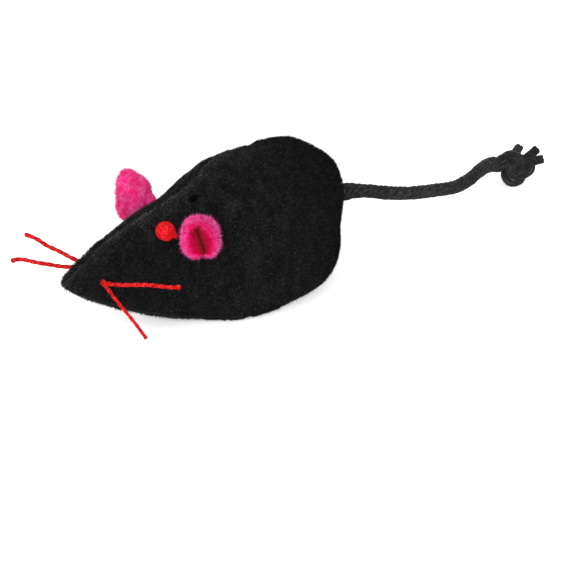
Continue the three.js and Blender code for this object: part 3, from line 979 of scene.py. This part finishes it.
def side_panel(side, fur_finish, swell):
    flip = SIDES[side]
    plain, t, angle = side_sheet(flip)
    out = outward_of(plain)
    turned = angle if flip == 1 else math.pi - angle
    shaped = sewn(plain, out, *SIDE_SEAMS, SEEDS[side], sampled(swell, t, turned))
    sheet = tucked(shaped, out, LEFTWARD, UPWARD) * (1, flip, 1)
    shell(side + "_side_plush", side + "_side_panel", sheet)
    # The pile is left off at the stitch, where near-black fibres paint the shade in its pucker's hole
    from_stitch = (plain - on_left(STITCH_PLACE)[0]) / STITCH_SIZE
    bare = np.linalg.norm(from_stitch, axis=2) < 1
    on_panel = (shaped * (1, flip, 1), out * (1, flip, 1))
    plush = ("mouse_body", "black_plush", fur_finish)
    thread = ("mouse_body", "black_thread", PUCKER_SHADE_THREAD)
    pile(side + "_side_pile", *plush, *on_panel, SIDE_FIBRES, keep=~bare)
    lint(side + "_side_lint", *on_panel)
    pile(side + "_ear_stitch_shade", *thread, *on_panel, **STITCH_SHADE_FIBRES, keep=bare)


def belly_panel(swell):
    plain, t, angle = belly_sheet()
    out = outward_of(plain)
    shaped = sewn(plain, out, *BELLY_SEAMS, SEEDS["belly"], sampled(swell, t, angle))
    sheet = tucked(shaped, out, -LEFTWARD, LEFTWARD)
    shell("belly_plush", "belly_panel", sheet)
    pile("belly_pile", "mouse_body", "black_plush", FAR_PILE, shaped, out, BELLY_FIBRES)


def panels():
    swell = stuffed()
    side_panel("left", NEAR_PILE, swell)
    side_panel("right", FAR_PILE, swell)
    belly_panel(swell)


# Tail: strands laid round one line, which ends in an overhand knot

STRANDS = 6
STRAND_RADIUS = 1.02
STRAND_OFFSET = 0.76
STRAND_SIDES = 18
STRAND_SHIFT = 0.12
LAY_LENGTH = 10.4
MAP_LENGTH = 120
ROPE_STEP = 0.3
BASE_LENGTH = 6
KNOT_START = 62.5
# The knot: how far it is cut open at each end, its depth, and the points where it ends
KNOT_OPEN = (0.15, 0.5)
KNOT_STEPS = 26
KNOT_DEPTH = 1.35
KNOT_END = [(0.7, 2.2, -1.9), (2.8, 1.7, -2.0)]
# Thicker at the root and in the knot, where strands close up and plump out, and thinner at the end
ROOT_SWELL = (0.36, 7, 4)
KNOT_SWELL = 0.28
KNOT_CLOSE = 0.3
KNOT_PLUMP = 0.1
KNOT_AFTER = 2
KNOT_RUN = 6
END_THIN = 0.4
END_RUN = 5
ROPE_RELIEF = [(0.05, 3.5, 51)]
STRAND_RELIEF = [(0.12, 1.8, 52)]
# Frayed ends: yarns that wind round a line, spread and taper towards its tip
YARNS = 4
YARN_LENGTH = 3.4
YARN_RADIUS = 0.95
YARN_TAPER = 0.38
YARN_OFFSET = 0.52
YARN_SPREAD = 0.12
SPREAD_POWER = 3
YARN_SIDES = 12
FRAY_START = 0.25
FRAY_STEP = 0.2


def rump_point():
    return body_points(1.0, 0.0)


def tail_line():
    rump = rump_point()
    start = rump + (TAIL_GAP + TAIL_RADIUS, 0, 0)
    knot = np.array([start[0] + KNOT_REACH[0], KNOT_REACH[1], KNOT_HEIGHT])
    drop = start[2] - knot[2]
    points = [rump - (depth, 0, 0) for depth in SEWN_IN]
    for x, y, share in ROUTE:
        settled = TAIL_SETTLE * min(1, x / SETTLE_RUN)
        points.append(np.array([start[0] + x, y, knot[2] + share * drop - settled]))
    return points, knot


def knot_frame():
    facing = unit(KNOT_FACING)
    x, y, z = facing
    right = np.array([1 - x * x / (1 + z), -x * y / (1 + z), -x])
    up = np.array([-x * y / (1 + z), 1 - y * y / (1 + z), -y])
    across = math.cos(KNOT_TURN) * right + math.sin(KNOT_TURN) * up
    return np.stack([across, np.cross(facing, across), facing])


def knot_points(knot):
    """An overhand knot: once round a trefoil, cut open at its top lobe."""
    angle = np.linspace(math.pi + KNOT_OPEN[0], 3 * math.pi - KNOT_OPEN[1], KNOT_STEPS)
    local = np.stack([
        np.sin(angle) + 2 * np.sin(2 * angle),
        -np.cos(angle) + 2 * np.cos(2 * angle),
        -KNOT_DEPTH * np.sin(3 * angle),
    ], 1)
    return (np.vstack([local, KNOT_END]) * KNOT_LOOP) @ knot_frame() + knot


def strand_rings(line, phase):
    along = travelled(line)
    turn = (phase - 2 * math.pi * along / LAY_LENGTH)[:, None]
    root = 1 + hump(along, *ROOT_SWELL)
    knotted = np.clip((along - KNOT_START - KNOT_AFTER) / KNOT_RUN, 0, 1)
    ending = np.clip(1 - (along[-1] - along) / END_RUN, 0, 1)
    full = (1 + KNOT_SWELL * knotted) * (1 - END_THIN * ending)
    swell = (root * full * (1 + relief(line, ROPE_RELIEF)))[:, None]
    offset = STRAND_OFFSET * (1 - KNOT_CLOSE * knotted)[:, None]
    centre = wound(line, turn, offset * swell)
    uneven = (1 + KNOT_PLUMP * knotted) * (1 + relief(centre, STRAND_RELIEF))
    return above_floor(tube_rings(centre, STRAND_RADIUS * swell[:, 0] * uneven, STRAND_SIDES))


def rope_piece(name, strands, first, last):
    length = (last - first) * ROPE_STEP / MAP_LENGTH
    return tubes_piece(name, BLACK_CORD, [rings[first:last + 1] for rings in strands], length)


def fray(k, knot, reach):
    """One strand's cut end, with its yarns spreading at the tip."""
    tip = knot + reach
    start = knot + FRAY_START * reach
    middle = (start + tip) / 2 + FRAY_BOWS[k]
    line = smooth_line([start, middle, tip], FRAY_STEP)
    along = travelled(line)
    yarns = []
    for yarn in range(YARNS):
        turn = 2 * math.pi * (along / YARN_LENGTH + yarn / YARNS)[:, None]
        spread = YARN_SPREAD * (along / along[-1])[:, None] ** SPREAD_POWER
        centre = wound(line, turn, YARN_OFFSET + spread)
        taper = YARN_RADIUS - YARN_TAPER * along / along[-1]
        yarns.append(tube_rings(centre, rounded(taper, centre, start=False), YARN_SIDES))
    piece = tubes_piece("tail_fray_" + str(k + 1), BLACK_CORD, yarns, along[-1] / MAP_LENGTH)
    attach(piece, "tail", "black_cord", "tail_strand_" + str(k + 1))
    return piece


def tail():
    points, knot = tail_line()
    line = smooth_line(points + list(knot_points(knot)), ROPE_STEP)
    phases = [2 * math.pi * (k + STRAND_SHIFT * (k % 2)) / STRANDS for k in range(STRANDS)]
    strands = [strand_rings(line, phase) for phase in phases]
    swing = rump_point() + (TAIL_GAP + TAIL_RADIUS, 0, 0)
    start = int(np.argmin(np.linalg.norm(line - swing, axis=1)))
    cut = start + round(BASE_LENGTH / 2 / ROPE_STEP)
    end = start + round(KNOT_START / ROPE_STEP)
    base = rope_piece("tail_base", strands, 0, cut)
    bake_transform(base)
    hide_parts("tail_anchor")
    cord = rope_piece("tail_rope", strands, cut, end)
    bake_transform(cord)
    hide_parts("tail_root", "tail_cord")
    knotted = rope_piece("tail_overhand_knot", strands, end, len(line) - 1)
    attach(knotted, "tail", "black_cord", "tail_knot")
    frays = [fray(k, knot, np.array(reach)) for k, reach in enumerate(FRAYS)]


tail()


# Whiskers: two-ply threads straight through the muzzle

PLY_RADIUS = 0.43
PLY_OFFSET = 0.12
PLY_LAY = 4.2
PLY_SIDES = 12
WHISKER_STEP = 0.2
WHISKER_WAVE = 0.35
WAVE_SIZE = 7
WAVE_SEEDS = (31, 32)
# The bend towards a tip: its share of the way there and its count of points
TURN_SHARE = 0.16
TURN_STEPS = 12
BOW_STEPS = 60
# Thicker at the cut tips and where it leaves the muzzle: how much, where and over what length
TIP_SWELL = (0.35, 0, 1.0)
EXIT_SWELL = (0.1, 0.6, 0.9)
THREAD_RELIEF = [(0.08, 1.6, 33)]


def free_end(leaves, reach, out):
    """From where an end leaves the muzzle, round its bend and on to its tip."""
    tip = leaves + reach
    corner = leaves + (0, out, 0)
    turned = corner + TURN_SHARE * (tip - corner)
    w = np.linspace(0, 1, TURN_STEPS)[:, None]
    return np.vstack([leaves * (1 - w) ** 2 + 2 * corner * w * (1 - w) + turned * w**2, tip])


def whisker_line(left_end, right_end):
    left = on_left(left_end[0])[0]
    right = on_left(right_end[0])[0] * MIRROR
    first = free_end(left, left_end[1], -WHISKER_BEND)[::-1]
    last = free_end(right, right_end[1], WHISKER_BEND)
    return evenly(np.vstack([first, last]), WHISKER_STEP), left


def whisker(name, left, right, bow, slim):
    line, leaves = whisker_line(left, right)
    along = travelled(line)
    normals, binormals = frames_along(line)
    end = np.minimum(along, along[-1] - along)
    out = np.abs(line[:, 1]) - abs(leaves[1])
    share = np.clip(out / out.max(), 0, 1)[:, None]
    sway = np.stack([rough(line, WAVE_SIZE, seed) for seed in WAVE_SEEDS], 1)
    aside = sway[:, :1] * normals + sway[:, 1:] * binormals
    line = line + WHISKER_WAVE * 4 * share * (1 - share) * aside
    rightward = line[:, 1] - leaves[1] * MIRROR[1]
    rise = catmull(bow, np.linspace(0, 1, BOW_STEPS))
    line[:, 2] += np.interp(rightward / rightward.max(), rise[:, 0], rise[:, 1])
    thick = 1 + hump(end, *TIP_SWELL) + hump(out, *EXIT_SWELL)
    thick = thick * (1 + relief(line, THREAD_RELIEF)) * np.where(line[:, 1] < 0, slim, 1)
    plies = []
    for ply in range(2):
        turn = (2 * math.pi * along / PLY_LAY + math.pi * ply)[:, None]
        round_line = np.cos(turn) * normals + np.sin(turn) * binormals
        centre = line + PLY_OFFSET * thick[:, None] * round_line
        plies.append(tube_rings(centre, rounded(PLY_RADIUS * thick, centre), PLY_SIDES))
    thread = tubes_piece(name + "_whiskers", RED_THREAD, plies)
    attach(thread, name + "_whisker", "red_thread", name + "_whisker_thread")


for name, facts in WHISKERS.items():
    whisker(name, **facts)

panels()


# Eyes: felted dots with a nub of felt at one side

EYE_ROWS = 34
EYE_SIDES = 72
EYE_WRAP = 0.72 * math.pi
NUB_TURN = -0.8
NUB = (0.95, 0, 0.22)
NUB_POWER = 8
FELT_RELIEF = [(0.08, 0.9, 5), (0.04, 0.35, 6)]
FELT_FUZZ = {"count": 2200, "lengths": (0.12, 0.3), "width": 0.07, "lean": 0.2}


def eye_sheet():
    """Rings from the dot's crown down to the cloth, in the dot's own frame."""
    rise = np.linspace(0.0, EYE_WRAP, EYE_ROWS)[:, None]
    turn = np.linspace(0, 2 * math.pi, EYE_SIDES)[None]
    nub = hump(wrapped(turn - NUB_TURN), *NUB) * np.sin(rise) ** NUB_POWER
    out = (EYE_RADIUS + nub) * np.sin(rise)
    return np.stack([out * np.cos(turn), out * np.sin(turn), EYE_DOME * np.cos(rise) + 0 * turn], 2)


def eyes():
    local = eye_sheet()
    for side, flip in SIDES.items():
        point, normal = on_left(EYE_PLACES[side])
        back = unit(np.array([1, 0, 0]) - normal * normal[0])
        up = np.cross(normal, back)
        sheet = point + local[..., :1] * back + local[..., 1:2] * up + local[..., 2:] * normal
        out = unit(sheet - point)
        placed = (sheet + out * relief(sheet, FELT_RELIEF)[..., None]) * (1, flip, 1)
        dot = tubes_piece(side + "_felt_eye", RED_FELT, [placed[:, :-1]])
        attach(dot, "mouse_body", "red_felt", side + "_eye")
        felt = ("mouse_body", "red_felt", RED_FELT)
        pile(side + "_eye_fuzz", *felt, placed, out * (1, flip, 1), **FELT_FUZZ)


eyes()


# Ears: a round of plush folded to a cup, open in front and split at the bottom of its rim

# From foot to rim and down into the fold: half width, half height, shift up and depth
EAR_SECTION = [
    (0.2, 0.2, 0, -1.7), (1.5, 1.5, 0, -1.2), (2.6, 2.8, 0.1, 0.4), (4.0, 4.5, 0.3, 2.5),
    (4.55, 5.25, 0.3, 4.6), (4.55, 5.25, 0.15, 6.5), (4.25, 5.0, 0.1, 7.6), (3.65, 4.6, 0, 8.1),
    (3.0, 4.45, 0, 8.0), (2.3, 4.4, -0.1, 7.65), (1.6, 4.35, -0.2, 7.1), (1.0, 4.2, -0.4, 6.4),
    (0.6, 3.9, -0.7, 5.9), (0.38, 3.4, -1.1, 5.5), (0.2, 2.9, -1.4, 5.2), (0.05, 2.1, -1.5, 5.0),
]
# Factors on width, height and foot's height, then how far each ear is drawn out, hooded and raised
EAR_SETS = {"left": (0.89, 0.88, 1.0, -0.1, 0.2, 0.0), "right": (0.96, 1.13, 0.7, -1.1, 0.28, -0.2)}
EAR_ROWS = 91
EAR_SIDES = 120
EAR_TAPER = 0.09
TAPER_HEIGHT = 5
HOOD_DEPTH = 8
EAR_SQUARE = 2 / 2.5
# Along the section: where it grows round, where it is rolled, and the crest of its rim
ROUND_FROM = 0.45
ROUND_RUN = 0.2
ROLL_SPAN = [0.45, 0.8]
CREST = (1, 0.56, 0.2)
# The split and the lobes on each side of it, as heights, angles and widths
SPLIT = (1, 0, 0.2)
SPLIT_SHRINK = 0.12
SPLIT_DEPTH = 5
SPLIT_BARE = 0.35
RIGHT_LOBE = (0.07, 0.45, 0.25)
LEFT_DIP = (0.03, -0.5, 0.3)
OUTER_ROWS = slice(12, 30)
EAR_RELIEF = [(0.25, 3.2, 8), (0.2, 1.2, 9)]
EAR_TRIM = [(0, 0.4), (0.2, 1), (0.48, 1.1), (0.55, 0.75), (0.65, 0.45), (0.8, 0.25), (1, 0.1)]
EAR_FUR = {"count": 15000, "lengths": (0.4, 1.1), "width": 0.11, "lean": 0.1, "trim": EAR_TRIM}
STRAY_ROWS = slice(20, 46)
STRAYS = {"count": 1000, "lengths": (0.8, 1.8), "width": 0.065, "lean": 0.1}


def powered(values, power):
    return np.sign(values) * np.abs(values) ** power


def ear_sheet(wide_by, tall_by, foot_by, drawn):
    """An ear in its own frame, and where on it the fur stands."""
    share = np.linspace(0, 1, EAR_ROWS)
    section = np.array(EAR_SECTION)
    section[2:, 0] *= wide_by
    section[2:, 1] *= tall_by
    section[2:4, 1] *= foot_by
    section[4, 1] *= (1 + foot_by) / 2
    section[3:, 3] += drawn
    section = catmull(section, share)
    turn = np.linspace(-math.pi / 2, 1.5 * math.pi, EAR_SIDES)[None]
    wide, tall, drop, depth = (section[:, k:k + 1] for k in range(4))
    from_split = wrapped(turn + math.pi / 2)
    crest = hump(share, *CREST)[:, None]
    split = hump(from_split, *SPLIT)
    lobes = hump(from_split, *RIGHT_LOBE) - hump(from_split, *LEFT_DIP)
    grow = 1 + (lobes - SPLIT_SHRINK * split) * crest
    rounder = np.clip((share - ROUND_FROM) / ROUND_RUN, 0, 1)[:, None]
    square = EAR_SQUARE + (1 - EAR_SQUARE) * rounder
    x = wide * powered(np.cos(turn), square) * grow
    y = tall * powered(np.sin(turn), square) * grow + drop
    x = x * (1 - EAR_TAPER * y / TAPER_HEIGHT)
    roll = np.interp(share, ROLL_SPAN, EAR_ROLL)[:, None]
    across = x * np.cos(roll) - y * np.sin(roll)
    up = x * np.sin(roll) + y * np.cos(roll)
    return np.stack([across, up, depth - SPLIT_DEPTH * split * crest], 2), split * crest < SPLIT_BARE


def ears():
    point, normal = on_left(EAR_PLACE)
    foot = point + EAR_STAND * normal
    axis = unit(EAR_LEAN)
    up = unit(UPWARD - axis * axis[2])
    across = np.cross(up, axis)
    for side, flip in SIDES.items():
        wide_by, tall_by, foot_by, drawn, hood, raised = EAR_SETS[side]
        local, furred = ear_sheet(wide_by, tall_by, foot_by, drawn)
        x, depth = local[..., 0], local[..., 2]
        y = local[..., 1] + raised
        w = depth + hood * y * np.clip(depth / HOOD_DEPTH, 0, 1)
        sheet = foot + x[..., None] * across + y[..., None] * up + w[..., None] * axis
        out = normals_of(sheet)
        out = out * np.sign(((sheet - sheet.mean(axis=(0, 1))) * out)[OUTER_ROWS].sum())
        placed = (sheet + out * relief(sheet, EAR_RELIEF)[..., None]) * (1, flip, 1)
        out = out * (1, flip, 1)
        plush, fur = PINK_FINISHES[side]
        ear = tubes_piece(side + "_plush_ear", plush, [placed[:, :-1]])
        carried = (side + "_ear", "pink_plush")
        attach(ear, *carried, side + "_ear")
        pile(side + "_ear_pile", *carried, fur, placed, out, **EAR_FUR, keep=furred)
        edge = (placed[STRAY_ROWS], out[STRAY_ROWS])
        pile(side + "_ear_strays", *carried, STRAY_PINK, *edge, **STRAYS)


ears()


# Pieces inside, kept from the frame
INSIDE = {
    "dorsal_seam_thread": BLACK_THREAD,
    "left_belly_thread": BLACK_THREAD,
    "right_belly_thread": BLACK_THREAD,
    "head_stuffing": FIBRE_FILL,
    "rump_stuffing": FIBRE_FILL,
    "catnip_fill": DRIED_HERB,
}
for node, material in INSIDE.items():
    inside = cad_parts[node]
    inside.data.materials.clear()
    inside.data.materials.append(material)


# Floor and light, in metres and watts

FLOOR_HALF = 4.0
FLOOR_LIFT = 0.5
LAMP_AIM = (0.02, 0, 0.015)
# Place, size and power
LAMPS = {"key_lamp": ((-0.6, -0.5, 0.48), 0.7, 5.2), "fill_lamp": ((0.42, -0.62, 0.35), 0.6, 0.9)}


def add_floor():
    """A pale floor that looks brighter than the light it throws back."""
    mesh = bpy.data.meshes.new("floor")
    corners = [(FLOOR_HALF * x, FLOOR_HALF * y, 0) for x, y in ((-1, -1), (1, -1), (1, 1), (-1, 1))]
    mesh.from_pydata(corners, [], [(0, 1, 2, 3)])
    finish = Finish("pale_floor")
    rays = finish.add("LightPath", {}).outputs
    seen = finish.worked("MAXIMUM", rays["Is Camera Ray"], rays["Is Glossy Ray"])
    through = finish.worked("MAXIMUM", seen, rays["Is Transmission Ray"])
    finish.shade({
        "Base Color": (0.9, 0.9, 0.9, 1),
        "Roughness": 1,
        "Specular IOR Level": 0,
        "Emission Color": WHITE,
        "Emission Strength": finish.worked("MULTIPLY", through, FLOOR_LIFT),
    })
    mesh.materials.append(finish.material)
    new_object("floor", mesh)


def add_light():
    world = bpy.data.worlds.new("studio")
    world.use_nodes = True
    sky = world.node_tree.nodes["Background"]
    sky.inputs["Color"].default_value = WHITE
    sky.inputs["Strength"].default_value = 0.76
    bpy.context.scene.world = world
    for name, (place, size, power) in LAMPS.items():
        data = bpy.data.lights.new(name, "AREA")
        data.size = size
        data.energy = power
        lamp = new_object(name, data)
        lamp.location = place
        aim(lamp, Vector(LAMP_AIM) - Vector(place))


add_floor()
add_light()
bpy.context.scene.view_settings.view_transform = "Standard"

bpy.context.view_layer.update()
